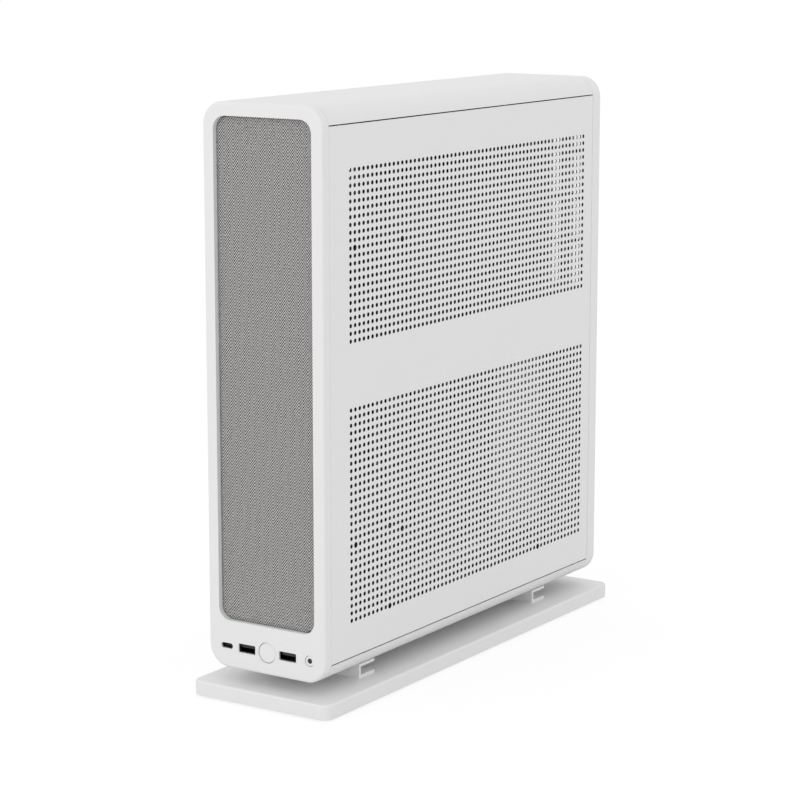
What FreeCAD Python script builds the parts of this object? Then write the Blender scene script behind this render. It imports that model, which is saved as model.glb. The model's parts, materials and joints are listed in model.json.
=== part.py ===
import FreeCAD, Part
import math
import os

# Slim upright desktop computer on a flat stand. Millimetres, +Z up, front towards -Y.
# X = 0 and Y = 0 are the middle of the body, Z = 0 is the ground under the rubber pads.

# ---- body shell
body_width = 94.0
body_depth = 355.0
body_height = 374.0
body_base = 21.0            # underside of the body above the ground
corner_radius = 15.0
bezel_depth = 7.3
rear_frame_depth = 10.5
joint_gap = 0.2             # upright joints, panel to bezel and panel to rear frame
seam_gap = 0.8              # long seams, panel to top and bottom cover
top_band = 12.4             # height of the top cover's side
bottom_band = 11.6
panel_sheet = 0.8
cover_sheet = 1.2
chassis_sheet = 1.0
fit_gap = 0.3               # between neighbours that do not touch

# ---- punched fields of the side panels
hole_pitch = 5.0
hole_radius = 1.45
screw_hole_radius = 2.0
hole_columns = 61
upper_rows = 23
lower_rows = 29
blind_rows = 8              # pitches with no holes between the two fields
field_front = 30.5          # front face to the first column
field_top = 42.0            # body top to the first row
screw_holes = [(1, 10), (12, 10), (1, 49), (9, 48), (12, 49), (9, 59), (48, 59)]
stud_radius = 1.9
stud_length = 3.2
stud_taper = 1.2

# ---- front bezel and screen
window_width = 77.0
window_height = 332.5
window_radius = 9.0
window_sill = 32.5          # body underside to the window's lower edge
bezel_wall = 2.2
bezel_edge_round = 1.8
lip_width = 2.5
lip_depth = 0.8
screen_recess = 3.8
fabric_thickness = 0.6
lattice_pitch = 18.0
lattice_rib = 3.0
peg_radius = 1.3
peg_length = 12.0

# ---- sockets and button in the bezel's sill
port_height = 15.0          # above the body's underside
usb_a_places = [-16.0, 17.0]
usb_a_size = (13.1, 5.5)
usb_c_place = -32.3
usb_c_size = (8.9, 3.2)
audio_place = 34.5
audio_ring_radius = 3.4
jack_radius = 1.8
jack_depth = 14.0
jack_step = 8.5                # rear audio jacks, one above the other
jack_steps = [-jack_step, 0.0, jack_step]
jack_stack_place = 52.0        # middle of the stack above the board's lower edge
socket_wall = 0.35
socket_setback = 0.9        # bezel face to the socket's mouth
aperture_gap = 0.3
port_window_side = 6.5      # front plate's window past the outer sockets' middles
port_window_height = 14.0
button_place = 0.4
button_radius = 6.75
button_travel = 1.2
button_stem_radius = 2.5
button_flange = 1.2
front_board_size = (82.0, 18.0, 1.6)

# ---- chassis
flange_depth = 12.0
flange_inset = 2.4          # outer face of the side flanges inside the body's side
divider_top = 219.0
divider_sheet = 1.2
divider_flange_low = 17.0
divider_flange_high = 18.0
vent_slot = 8.0
vent_step = 14.0
rear_wall = 2.0
rear_lip = 6.0
roof_width = 60.0
floor_width = 63.0

# ---- board
board_size = 170.0
board_thickness = 1.6
board_back_gap = 1.5
board_low_gap = 0.6
board_hole_inset = 6.35
standoff_height = 6.4
standoff_radius = 2.6
processor_y = 77.0          # from the board's front edge
processor_z = 95.0          # from the board's lower edge
socket_height = 3.6
processor_height = 3.0
slot_height = 11.2
slot_width = 7.6
slot_length = 89.5
slot_y = 43.5               # from the board's front edge
slot_z = 3.0                # from the board's lower edge
edge_gap = 0.1              # board edge in its slot, each side
memory_places = [16.0, 25.5]
memory_z = 78.0             # from the board's lower edge
memory_height = 31.0
memory_length = 133.0
board_parts = [             # middle along Y and Z from the board's corner, size along Y and Z, height
    (58.0, 24.0, 16.0, 16.0, 2.0),
    (126.0, 60.0, 9.0, 9.0, 1.2),
    (84.0, 20.0, 7.0, 12.0, 6.0),
    (136.0, 150.0, 8.0, 8.0, 7.5),
    (136.0, 138.0, 8.0, 8.0, 7.5),
    (60.0, 156.0, 5.0, 12.0, 6.0),
]

# ---- fans
cooler_fan_size = 92.0
cooler_fan_depth = 15.0
case_fan_size = 140.0
case_fan_depth = 15.0
fan_strut = 2.5
shaft_radius = 1.5
shaft_fit = 0.05            # radial running clearance of a rotor on its shaft
rotor_gap = 0.5
tip_gap = 1.5

# ---- power supply
supply_thickness = 63.5
supply_length = 125.0
supply_height = 100.0
supply_to_front = 20.5      # supply case to the front plate
supply_side_gap = 3.0
mains_lead_radius = 3.5
front_lead_radius = 2.5
power_lead_radius = 4.0
supply_wall = 1.0

# ---- graphics card
card_length = 240.0
card_height = 120.0
card_board_length = 114.0
card_board_face = 15.2      # fan-side face of the card's board
card_low = 53.0             # above the floor plate
card_back_gap = 8.0
card_fan_face = -24.0
card_hole_radius = 43.0
card_fan_places = [62.0, 178.0]     # from the card's front end
card_backplate_face = 18.8
riser_drop = 20.0

# ---- drive
drive_size = (7.0, 70.0, 100.0)
drive_face = 23.0

# ---- stand
stand_width = 110.0
stand_length = 374.0
stand_thickness = 10.0
stand_corner = 6.5
stand_edge_round = 1.5
pad_height = 1.2
pad_radius = 8.0
foot_places = [-124.0, 102.5]
foot_half_width = 37.0
foot_sheet = 2.0
foot_flange = 18.0

# ---- fasteners
screw_radius = 1.5
screw_head_radius = 2.8
screw_head_height = 1.8
screw_clear = 0.2

# ---- places worked out from the sizes
half_width = body_width / 2
front = -body_depth / 2
rear = body_depth / 2
body_top = body_base + body_height
body_middle = body_base + body_height / 2
bezel_back = front + bezel_depth
rear_frame_front = rear - rear_frame_depth
shell_front = bezel_back + joint_gap
shell_rear = rear_frame_front - joint_gap
seam_top = body_top - top_band - seam_gap       # upper edge of the side panels
seam_bottom = body_base + bottom_band + seam_gap
panel_face = half_width - panel_sheet           # inner face of a side panel
front_plate_face = shell_front + 0.5
front_plate_back = front_plate_face + chassis_sheet
rear_plate_back = rear_frame_front + 2.0
rear_plate_face = rear_plate_back - chassis_sheet
flange_face = half_width - flange_inset
flange_inner = flange_face - chassis_sheet
floor_low = body_base + cover_sheet
floor_top = floor_low + chassis_sheet
roof_low = body_top - cover_sheet - chassis_sheet
divider_low = divider_top - divider_sheet
port_z = body_base + port_height
front_board_top = port_z - usb_a_size[1] / 2
screen_face = front + screen_recess
fabric_back = screen_face + fabric_thickness
lip_front = bezel_back - lip_depth

tray_face = -flange_inner                       # left face of the board tray
tray_back = tray_face + chassis_sheet
board_low_x = tray_back + standoff_height
board_top_x = board_low_x + board_thickness
board_rear = rear_plate_face - board_back_gap
board_front = board_rear - board_size
board_bottom = divider_top + board_low_gap
board_high = board_bottom + board_size
cpu_y = board_front + processor_y
cpu_z = board_bottom + processor_z
cpu_face = board_top_x + socket_height
cooler_face = cpu_face + processor_height
cooler_fan_face = cooler_face + 24.0
riser_low = board_bottom + slot_z + (slot_width - board_thickness) / 2
slot_front = board_front + slot_y

supply_front = front_plate_back + supply_to_front
supply_rear = supply_front + supply_length
supply_low_x = tray_face + supply_side_gap
supply_high_x = supply_low_x + supply_thickness
supply_top = divider_top + supply_height
supply_mid_y = (supply_front + supply_rear) / 2
supply_mid_z = divider_top + supply_height / 2

card_rear = rear_plate_face - card_back_gap
card_front = card_rear - card_length
card_bottom = floor_top + card_low
card_top = card_bottom + card_height
card_board_back = card_board_face + board_thickness
card_board_front = card_rear + 4.0 - card_board_length
card_mid_z = (card_bottom + card_top) / 2
riser_socket_low = riser_low - riser_drop
riser_mid_x = card_board_face + board_thickness / 2

fan_low_x = -(flange_inner - 0.4)
fan_high_x = fan_low_x + case_fan_depth
fan_mid_z = (floor_top + divider_low) / 2
case_fan_places = [front_plate_back + 18.5 + case_fan_size / 2,
                   front_plate_back + 22.5 + case_fan_size * 1.5]

inlet_z = floor_top + 21.0
mains_z = inlet_z - 4.0
lead_y = front_plate_back + 11.0
stand_low = pad_height
stand_top = stand_low + stand_thickness

V = FreeCAD.Vector
X_AXIS = V(1, 0, 0)
Y_AXIS = V(0, 1, 0)
Z_AXIS = V(0, 0, 1)


def block(x, y, z):
    """Box between two values on each axis."""
    size = (abs(x[1] - x[0]), abs(y[1] - y[0]), abs(z[1] - z[0]))
    return Part.makeBox(*size, V(min(x), min(y), min(z)))


def around(middle, size):
    """Pair of values centred on a middle."""
    return (middle - size / 2, middle + size / 2)


def rod(start, axis, length, radius):
    return Part.makeCylinder(radius, length, V(*start), axis)


def join(shapes):
    """Fuse shapes into one solid with no leftover seams."""
    first, rest = shapes[0], shapes[1:]
    whole = first.fuse(rest) if rest else first
    return whole.removeSplitter()


def rounded_outline(width, height, radius, y, middle_x=0.0, middle_z=0.0):
    """Wire of a rounded rectangle in a plane that faces the front."""
    w = width / 2 - radius
    h = height / 2 - radius
    c = math.sqrt(0.5) * radius
    corners = [(w, h, 1, 1), (-w, h, -1, 1), (-w, -h, -1, -1), (w, -h, 1, -1)]
    arcs = []
    for x, z, sx, sz in corners:
        side = V(middle_x + x + sx * radius, y, middle_z + z)
        crown = V(middle_x + x, y, middle_z + z + sz * radius)
        middle = V(middle_x + x + sx * c, y, middle_z + z + sz * c)
        ends = (side, crown) if sx * sz > 0 else (crown, side)
        arcs.append((ends[0], middle, ends[1]))
    edges = []
    for index, (start, middle, end) in enumerate(arcs):
        edges.append(Part.Arc(start, middle, end).toShape())
        following = arcs[(index + 1) % len(arcs)][0]
        if end.distanceToPoint(following) > 1e-6:
            edges.append(Part.LineSegment(end, following).toShape())
    return Part.Wire(edges)


def rounded_prism(width, height, radius, y, middle_x=0.0, middle_z=0.0):
    outline = rounded_outline(width, height, radius, y[0], middle_x, middle_z)
    return Part.Face(outline).extrude(V(0, y[1] - y[0], 0))


def shell_prism(inset, y):
    """The body's rounded outline, drawn in by an inset, between two depths."""
    size = (body_width - 2 * inset, body_height - 2 * inset)
    return rounded_prism(*size, corner_radius - inset, y, 0.0, body_middle)


def ring_of(inset_outer, inset_inner, y):
    return shell_prism(inset_outer, y).cut(shell_prism(inset_inner, y))


def window_prism(grow, y):
    size = (window_width + 2 * grow, window_height + 2 * grow)
    middle = body_base + window_sill + window_height / 2
    return rounded_prism(*size, window_radius + grow, y, 0.0, middle)


def save(name, *solids):
    """Write one sub-part, a single solid or a group of separate solids."""
    shape = solids[0] if len(solids) == 1 else Part.makeCompound(list(solids))
    shape.exportStep("parts/" + name + ".step")
    count = len(shape.Solids)
    print(name, count, "valid" if shape.isValid() else "INVALID", round(shape.Volume / 1000, 2), "cm3")


# ---------------------------------------------------------------- shell

def front_bezel():
    full = (front, bezel_back)
    bezel = shell_prism(0.0, full)
    rim = [e for e in bezel.Edges if e.BoundBox.YMax < front + 0.01]
    bezel = bezel.makeFillet(bezel_edge_round, rim)
    hollow = (front + bezel_wall, bezel_back + 1.0)
    cavity = shell_prism(bezel_wall, hollow).cut(window_prism(bezel_wall, hollow))
    bezel = bezel.cut(cavity)
    bezel = bezel.cut(window_prism(0.0, (front - 1.0, lip_front)))
    bezel = bezel.cut(window_prism(-lip_width, (front, bezel_back + 1.0)))
    through = (front - 1.0, front + bezel_wall + 1.0)
    openings = []
    for place in usb_a_places:
        size = [s + 2 * aperture_gap for s in usb_a_size]
        openings.append(rounded_prism(*size, 0.8, through, place, port_z))
    size = [s + 2 * aperture_gap for s in usb_c_size]
    openings.append(rounded_prism(*size, size[1] / 2 - 0.01, through, usb_c_place, port_z))
    start = (audio_place, through[0], port_z)
    openings.append(rod(start, Y_AXIS, through[1] - through[0], audio_ring_radius + aperture_gap))
    start = (button_place, through[0], port_z)
    openings.append(rod(start, Y_AXIS, through[1] - through[0], button_radius + aperture_gap))
    bezel = bezel.cut(openings)
    pegs = []
    for x in peg_columns():
        for z in peg_rows():
            pegs.append(rod((x, front + bezel_wall, z), Y_AXIS, peg_length, peg_radius))
    save("front_bezel", bezel, *pegs)


def peg_columns():
    place = half_width - bezel_wall - 2 * fit_gap - peg_radius - 0.9
    return [-place, place]


def peg_rows():
    return [body_base + 70.0, body_middle, body_top - 60.0]


def lattice_wires(y, width, height, middle_z):
    """Square openings on an even grid, as many as the frame has room for."""
    columns = int((width - 2 * lattice_rib) // lattice_pitch)
    rows = int((height - 2 * lattice_rib) // lattice_pitch)
    side = lattice_pitch - lattice_rib
    wires = []
    for column in range(columns):
        for row in range(rows):
            x = (column - (columns - 1) / 2) * lattice_pitch
            z = middle_z + (row - (rows - 1) / 2) * lattice_pitch
            wires.append(rounded_outline(side, side, 2.0, y, x, z))
    return wires


def screen():
    width = window_width - 2 * fit_gap
    height = window_height - 2 * fit_gap
    middle = body_base + window_sill + window_height / 2
    radius = window_radius - fit_gap
    save("fabric_screen", rounded_prism(width, height, radius, (screen_face, fabric_back), 0.0, middle))
    outline = rounded_outline(width, height, radius, fabric_back, 0.0, middle)
    holes = [w.reversed() for w in lattice_wires(fabric_back, width, height, middle)]
    lattice = Part.Face([outline] + holes).extrude(V(0, lip_front - fabric_back, 0))
    save("screen_frame", lattice)


def covers():
    span = (shell_front, shell_rear)
    wide = around(0.0, body_width + 2.0)
    ring = ring_of(0.0, cover_sheet, span)
    top = ring.common(block(wide, span, (seam_top + seam_gap, body_top + 1.0)))
    save("top_cover", top)
    bottom = ring.common(block(wide, span, (body_base - 1.0, seam_bottom - seam_gap)))
    save("bottom_cover", bottom.cut(upper_foot_holes((body_base - 1.0, floor_low + 1.0))))


def field_rows():
    """Row heights from the top down, counted over both fields and the blind band."""
    first = body_top - field_top
    numbers = list(range(upper_rows))
    numbers += [upper_rows + blind_rows + row for row in range(lower_rows)]
    return [(number, first - number * hole_pitch) for number in numbers]


def panel_strip(low, high, row):
    """Faces of one level strip of the panel, with one row of holes or none."""
    y = (shell_front, shell_rear)
    x = panel_face
    points = [V(x, y[0], low), V(x, y[1], low), V(x, y[1], high), V(x, y[0], high), V(x, y[0], low)]
    wires = [Part.makePolygon(points)]
    through = V(panel_sheet, 0, 0)
    walls = [Part.makePolygon([V(x, edge, low), V(x, edge, high)]).extrude(through) for edge in y]
    if row is not None:
        number, z = row
        for column in range(hole_columns):
            radius = screw_hole_radius if (column, number) in screw_holes else hole_radius
            centre = V(x, front + field_front + column * hole_pitch, z)
            circle = Part.Circle(centre, V(-1, 0, 0), radius).toShape()
            wires.append(Part.Wire(circle))
            walls.append(circle.extrude(through))
    inner = Part.Face(wires)
    outer = inner.copy()
    outer.translate(through)
    return [inner, outer] + walls


def punched_panel():
    """Side panel sewn from strips one hole pitch high, so that every hole is a real one."""
    faces = []
    level = seam_bottom
    for number, z in reversed(field_rows()):
        low = z - hole_pitch / 2
        if low > level + 0.001:
            faces += panel_strip(level, low, None)
        level = z + hole_pitch / 2
        faces += panel_strip(low, level, (number, z))
    faces += panel_strip(level, seam_top, None)
    for z in (seam_bottom, seam_top):
        edge = Part.makePolygon([V(panel_face, shell_front, z), V(panel_face, shell_rear, z)])
        faces.append(edge.extrude(V(panel_sheet, 0, 0)))
    skin = Part.makeCompound(faces)
    skin.sewShape(0.0001)
    return Part.Solid(skin.Shells[0])


def stud_places():
    ends = (front_plate_back + flange_depth / 2, rear_plate_face - flange_depth / 2)
    levels = (seam_bottom + 30.0, divider_top - 40.0, divider_top + 40.0, seam_top - 20.0)
    return [(y, z) for y in ends for z in levels]


def panel_studs():
    studs = []
    for y, z in stud_places():
        shank = rod((panel_face, y, z), V(-1, 0, 0), stud_length - 0.6, stud_radius - 0.3)
        tip = V(panel_face - stud_length + stud_taper, y, z)
        bulb = Part.makeCone(stud_radius, stud_radius - 1.0, stud_taper, tip, V(-1, 0, 0))
        studs.append(join([shank, bulb]))
    return studs


def side_panels():
    panel = punched_panel()
    save("right_panel", panel)
    save("left_panel", panel.mirror(V(0, 0, 0), X_AXIS))
    studs = panel_studs()
    save("right_panel_studs", *studs)
    save("left_panel_studs", *[stud.mirror(V(0, 0, 0), X_AXIS) for stud in studs])


def rear_screw_places():
    x = half_width - rear_wall - 3.6
    levels = (body_base + 40.0, divider_top + 30.0, body_top - 40.0)
    return [(side * x, z) for side in (-1, 1) for z in levels]


def rear_frame():
    wall = ring_of(0.0, rear_wall, (rear_frame_front, rear))
    lip = ring_of(rear_wall - 0.1, rear_wall + rear_lip, (rear_plate_back, rear_plate_back + 1.2))
    frame = join([wall, lip])
    holes = []
    for x, z in rear_screw_places():
        holes.append(rod((x, rear_plate_back - 1.0, z), Y_AXIS, 4.0, screw_radius + screw_clear))
    save("rear_frame", frame.cut(holes))


# ---------------------------------------------------------------- chassis

def side_flanges(y, z):
    low = block((-flange_face, -flange_inner), y, z)
    high = block((flange_inner, flange_face), y, z)
    return [low, high]


def stud_holes():
    holes = []
    for y, z in stud_places():
        start = (-flange_face - 1.0, y, z)
        holes.append(rod(start, X_AXIS, 2 * flange_face + 2.0, stud_radius + fit_gap))
    return holes


def front_plate():
    y = (front_plate_face, front_plate_back)
    plate = shell_prism(cover_sheet + fit_gap, y)
    height = (seam_bottom + 14.0, seam_top - 8.0)
    plate = join([plate] + side_flanges((front_plate_face, front_plate_back + flange_depth), height))
    cuts = []
    through = (y[0] - 1.0, y[1] + 1.0)
    low = body_base + window_sill + 8.0
    count = int((body_top - 20.0 - low) // vent_step)
    for index in range(count):
        z = low + index * vent_step
        cuts.append(block(around(0.0, 60.0), through, (z, z + vent_slot)))
    for x in peg_columns():
        for z in peg_rows():
            cuts.append(rod((x, through[0], z), Y_AXIS, chassis_sheet + 2.0, peg_radius + fit_gap))
    row = (usb_c_place - port_window_side, audio_place + port_window_side)
    cuts.append(block(row, through, around(port_z, port_window_height)))
    save("front_plate", plate.cut(cuts + stud_holes()))


def io_opening():
    """Opening of the rear plate behind the board's socket row."""
    low_x = board_top_x - 2.5
    return (low_x, low_x + 44.5), (board_bottom + 6.0, board_bottom + 165.0)


def bracket_opening():
    return (card_fan_face + 3.0, card_board_back + 2.8), (card_bottom + 8.0, card_top - 6.0)


def inlet_size():
    return 27.4, 19.6


def rear_plate():
    y = (rear_plate_face, rear_plate_back)
    plate = shell_prism(rear_wall + fit_gap, y)
    reach = (rear_plate_face - flange_depth, rear_plate_back)
    plate = join([plate] + side_flanges(reach, (seam_bottom + 14.0, seam_top - 8.0)))
    through = (y[0] - 1.0, y[1] + 1.0)
    x, z = io_opening()
    cuts = [block(x, through, z)]
    x, z = bracket_opening()
    cuts.append(block(x, through, z))
    width, height = inlet_size()
    inlet = (width + 2 * fit_gap, height + 2 * fit_gap)
    cuts.append(block(around(0.0, inlet[0]), through, around(inlet_z, inlet[1])))
    vents = [io_opening()[0][1] + 4.5, io_opening()[0][1] + 22.0]
    for left in vents:
        for index in range(4):
            low = divider_top + 22.0 + index * 34.0
            cuts.append(block((left, left + vent_slot), through, (low, low + 30.0)))
    for x, z in rear_screw_places():
        cuts.append(rod((x, through[0], z), Y_AXIS, 3.0, screw_radius + screw_clear))
    save("rear_plate", plate.cut(cuts + stud_holes()))


def upper_foot_holes(z):
    """Screw holes through the floor for the screws that hold the feet."""
    holes = []
    for x, y in upper_foot_screws():
        holes.append(rod((x, y, z[0]), Z_AXIS, z[1] - z[0], screw_radius + screw_clear))
    return holes


def upper_foot_screws():
    return [(x, place + foot_flange / 2 + 1.0) for x in (-12.0, 12.0) for place in foot_places]


def lower_foot_screws():
    return [(x, place + foot_flange / 2 + 1.0) for x in (-26.0, 26.0) for place in foot_places]


def floor_and_roof():
    span = (front_plate_back, shell_rear)
    floor = block(around(0.0, floor_width), span, (floor_low, floor_top))
    posts = []
    for x in (-14.0, 14.0):
        start = (x, front_plate_back + 12.0, floor_top - 0.2)
        posts.append(rod(start, Z_AXIS, board_post_top() - floor_top + 0.2, 3.0))
    floor = join([floor] + posts)
    save("floor_plate", floor.cut(upper_foot_holes((floor_low - 1.0, floor_top + 1.0))))
    save("roof_plate", block(around(0.0, roof_width), span, (roof_low, roof_low + chassis_sheet)))


def board_post_top():
    return front_board_top - front_board_size[2]


def divider_plate():
    full = (front_plate_back, rear_plate_face)
    between = (full[0] + flange_depth + 0.5, full[1] - flange_depth - 0.5)
    level = (divider_low, divider_top)
    plate = block(around(0.0, 2 * (flange_inner - fit_gap)), full, level)
    middle = block(around(0.0, 2 * flange_face), between, level)
    flanges = side_flanges(between, (divider_top - divider_flange_low, divider_top + divider_flange_high))
    plate = join([plate, middle] + flanges)
    notch = block((-36.0, 12.0), (full[0] - 1.0, supply_front - 1.0), (divider_low - 1.0, divider_top + 1.0))
    slot = block(around(riser_mid_x, slot_width + 2.0), (slot_front - 2.0, slot_front + slot_length + 2.0),
                 (divider_low - 1.0, divider_top + 1.0))
    save("divider_plate", plate.cut([notch, slot]))


def board_holes():
    low = board_hole_inset
    high = board_size - board_hole_inset
    return [(board_front + y, board_bottom + z) for y in (low, high) for z in (low, high)]


def board_tray():
    z = (divider_top, body_top - corner_radius + 7.0)
    tray = block((tray_face, tray_back), (board_front - 8.0, rear_plate_face - 3.0), z)
    save("board_tray", tray.cut(stud_holes()))
    standoffs = []
    for y, z in board_holes():
        post = rod((tray_back, y, z), X_AXIS, standoff_height, standoff_radius)
        bore = rod((tray_back + 1.4, y, z), X_AXIS, standoff_height, screw_radius + 0.1)
        standoffs.append(post.cut(bore))
    save("board_standoffs", *standoffs)


# ---------------------------------------------------------------- fans

def fan_frame(face, y, z, size, depth):
    """Square fan frame that starts at an X face, with struts and a shaft for its rotor."""
    outer = block((face, face + depth), around(y, size), around(z, size))
    upright = [e for e in outer.Edges if abs(e.tangentAt(e.FirstParameter).x) > 0.9]
    outer = outer.makeFillet(5.0, upright)
    bore = size / 2 - 2.5
    frame = outer.cut(rod((face - 1.0, y, z), X_AXIS, depth + 2.0, bore))
    hub = size * 0.17
    arms = [rod((face, y, z), X_AXIS, fan_strut, hub)]
    for angle in (45.0, 135.0):
        arm = block((face, face + fan_strut), around(y, 2 * bore + 2.0), around(z, 4.0))
        arm.rotate(V(face, y, z), X_AXIS, angle)
        arms.append(arm)
    arms.append(rod((face, y, z), X_AXIS, depth - 3.0, shaft_radius))
    frame = join([frame] + arms)
    return frame.cut(fan_screw_holes(face, y, z, size, depth))


def fan_hole_pitch(size):
    return {92.0: 82.5, 140.0: 124.5}.get(size, size * 0.893)


def fan_screw_holes(face, y, z, size, depth):
    half = fan_hole_pitch(size) / 2
    holes = []
    for sy in (-1, 1):
        for sz in (-1, 1):
            holes.append(rod((face - 1.0, y + sy * half, z + sz * half), X_AXIS, depth + 2.0, 2.15))
    return holes


def rotor(face, y, z, hub, tip, depth, blades, direction=1):
    """Fan rotor with twisted blades, bored for its shaft."""
    cup = rod((face, y, z), X_AXIS, depth, hub)
    parts = [cup]
    inner, outer = hub - 0.6, tip
    for index in range(blades):
        sections = []
        for radius, chord, pitch in ((inner, hub * 0.85, 48.0), (outer, tip * 0.55, 24.0)):
            a = math.radians(pitch)
            dx = min(math.sin(a) * chord / 2, depth / 2 - 0.8)
            dz = math.cos(a) * chord / 2 * direction
            mid = face + depth / 2
            thick = 0.6
            points = [(mid - dx - thick, -dz), (mid + dx - thick, dz)]
            points += [(mid + dx + thick, dz), (mid - dx + thick, -dz)]
            ring = [V(px, y + radius, z + pz) for px, pz in points]
            sections.append(Part.makePolygon(ring + [ring[0]]))
        blade = Part.makeLoft(sections, True, True)
        blade.rotate(V(face, y, z), X_AXIS, 360.0 * index / blades)
        parts.append(blade)
    whole = join(parts)
    limit = rod((face, y, z), X_AXIS, depth, tip)
    whole = whole.common(limit)
    return whole


def bored_rotor(face, y, z, size, depth, blades, shaft_from):
    """Rotor of a framed fan: it starts just past the struts."""
    hub = size * 0.16
    tip = size / 2 - 2.5 - tip_gap
    start = face + fan_strut + rotor_gap
    wheel = rotor(start, y, z, hub, tip, depth - fan_strut - rotor_gap - 0.8, blades)
    bore = rod((face, y, z), X_AXIS, shaft_from + fit_gap, shaft_radius + shaft_fit)
    return wheel.cut(bore)


def case_fans():
    frames = []
    names = ("case_fan_rotor_front", "case_fan_rotor_rear")
    for place, name in zip(case_fan_places, names):
        frames.append(fan_frame(fan_low_x, place, fan_mid_z, case_fan_size, case_fan_depth))
        shaft_from = case_fan_depth - 3.0
        wheel = bored_rotor(fan_low_x, place, fan_mid_z, case_fan_size, case_fan_depth, 9, shaft_from)
        save(name, wheel)
    save("case_fan_frames", *frames)
    half = fan_hole_pitch(case_fan_size) / 2
    rails = []
    for side in (-1, 1):
        rail = block((fan_high_x, fan_high_x + chassis_sheet), (front_plate_back, rear_plate_face),
                     around(fan_mid_z + side * half, 14.0))
        holes = []
        for place in case_fan_places:
            for sy in (-1, 1):
                start = (fan_high_x - 1.0, place + sy * half, fan_mid_z + side * half)
                holes.append(rod(start, X_AXIS, 3.0, screw_radius + screw_clear))
        rails.append(rail.cut(holes))
    save("fan_rails", *rails)


# ---------------------------------------------------------------- board

def finned_block(x, y, z, base, pitch, fin):
    """Heatsink: a base with fins that stand along X and run along Z."""
    count = int((y[1] - y[0] - fin) // pitch) + 1
    start = y[0] + ((y[1] - y[0]) - (count - 1) * pitch - fin) / 2
    points = [V(x[0], y[0], z[0]), V(x[0] + base, y[0], z[0])]
    for index in range(count):
        low = start + index * pitch
        for px, py in ((x[0] + base, low), (x[1], low), (x[1], low + fin), (x[0] + base, low + fin)):
            if points[-1].distanceToPoint(V(px, py, z[0])) > 0.001:
                points.append(V(px, py, z[0]))
    for px in (x[0] + base, x[0]):
        if points[-1].distanceToPoint(V(px, y[1], z[0])) > 0.001:
            points.append(V(px, y[1], z[0]))
    points.append(points[0])
    return Part.Face(Part.makePolygon(points)).extrude(V(0, 0, z[1] - z[0]))


def motherboard():
    plate = block((board_low_x, board_top_x), (board_front, board_rear), (board_bottom, board_high))
    holes = []
    for y, z in board_holes():
        holes.append(rod((board_low_x - 1.0, y, z), X_AXIS, board_thickness + 2.0, screw_radius + screw_clear))
    plate = plate.cut(holes)
    small = []
    for dy, dz, w, h, tall in board_parts:
        place = around(board_front + dy, w), around(board_bottom + dz, h)
        small.append(block((board_top_x - 0.1, board_top_x + tall), *place))
    save("motherboard", join([plate] + small))


def front_header():
    """Place of the plug where the front lead meets the board."""
    return board_front + 24.0, board_high - 15.0


def board_connectors():
    slots = []
    for place in memory_places:
        y = board_front + place
        z = around(board_bottom + memory_z, memory_length + 7.0)
        slot = block((board_top_x, board_top_x + 5.5), around(y, 6.5), z)
        groove = block((board_top_x + 2.5, board_top_x + 6.0), around(y, 1.3 + 2 * edge_gap),
                       around(board_bottom + memory_z, memory_length + 2 * edge_gap))
        slots.append(slot.cut(groove))
    z = (board_bottom + slot_z, board_bottom + slot_z + slot_width)
    card_slot = block((board_top_x, board_top_x + slot_height), (slot_front, slot_front + slot_length), z)
    groove = block((board_top_x + 3.2, board_top_x + slot_height + 1.0),
                   (slot_front + 1.5, slot_front + slot_length - 1.5),
                   (riser_low - edge_gap, riser_low + board_thickness + edge_gap))
    slots.append(card_slot.cut(groove))
    power = block((board_top_x, board_top_x + 9.0), (board_front + 1.0, board_front + 11.0),
                  around(board_bottom + 125.0, 52.0))
    slots.append(power)
    save("board_connectors", *slots)


def memory_modules():
    modules = []
    z_middle = board_bottom + memory_z
    for place in memory_places:
        y = board_front + place
        low = board_top_x + 2.5
        card = block((low, low + memory_height), around(y, 1.3), around(z_middle, memory_length))
        chips = []
        for index in range(8):
            z = z_middle + (index - 3.5) * 15.0
            chips.append(block((low + 10.0, low + 21.0), around(y, 3.6), around(z, 9.0)))
        modules.append(join([card] + chips))
    save("memory_modules", *modules)


def processor_parts():
    socket = block((board_top_x, cpu_face), around(cpu_y, 44.0), around(cpu_z, 50.0))
    save("processor_socket", socket)
    save("processor", block((cpu_face, cooler_face), around(cpu_y, 34.0), around(cpu_z, 34.0)))
    span = around(cpu_y, cooler_fan_size - 2.0)
    height = around(cpu_z, cooler_fan_size - 2.0)
    sink = finned_block((cooler_face, cooler_fan_face), span, height, 5.0, 2.6, 0.6)
    posts = []
    for sy in (-1, 1):
        for sz in (-1, 1):
            start = (board_top_x, cpu_y + sy * 37.5, cpu_z + sz * 37.5)
            posts.append(rod(start, X_AXIS, cooler_face - board_top_x + 0.2, 2.4))
    save("cooler_heatsink", join([sink] + posts))
    save("cooler_fan_frame", fan_frame(cooler_fan_face, cpu_y, cpu_z, cooler_fan_size, cooler_fan_depth))
    save("cooler_fan_rotor", bored_rotor(cooler_fan_face, cpu_y, cpu_z, cooler_fan_size, cooler_fan_depth, 9,
                                         cooler_fan_depth - 3.0))
    y = (board_front + 131.0, board_front + 143.0)
    z = (board_bottom + 76.0, board_bottom + 130.0)
    save("regulator_heatsink", finned_block((board_top_x, board_top_x + 18.0), y, z, 4.0, 3.0, 1.0))


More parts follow.
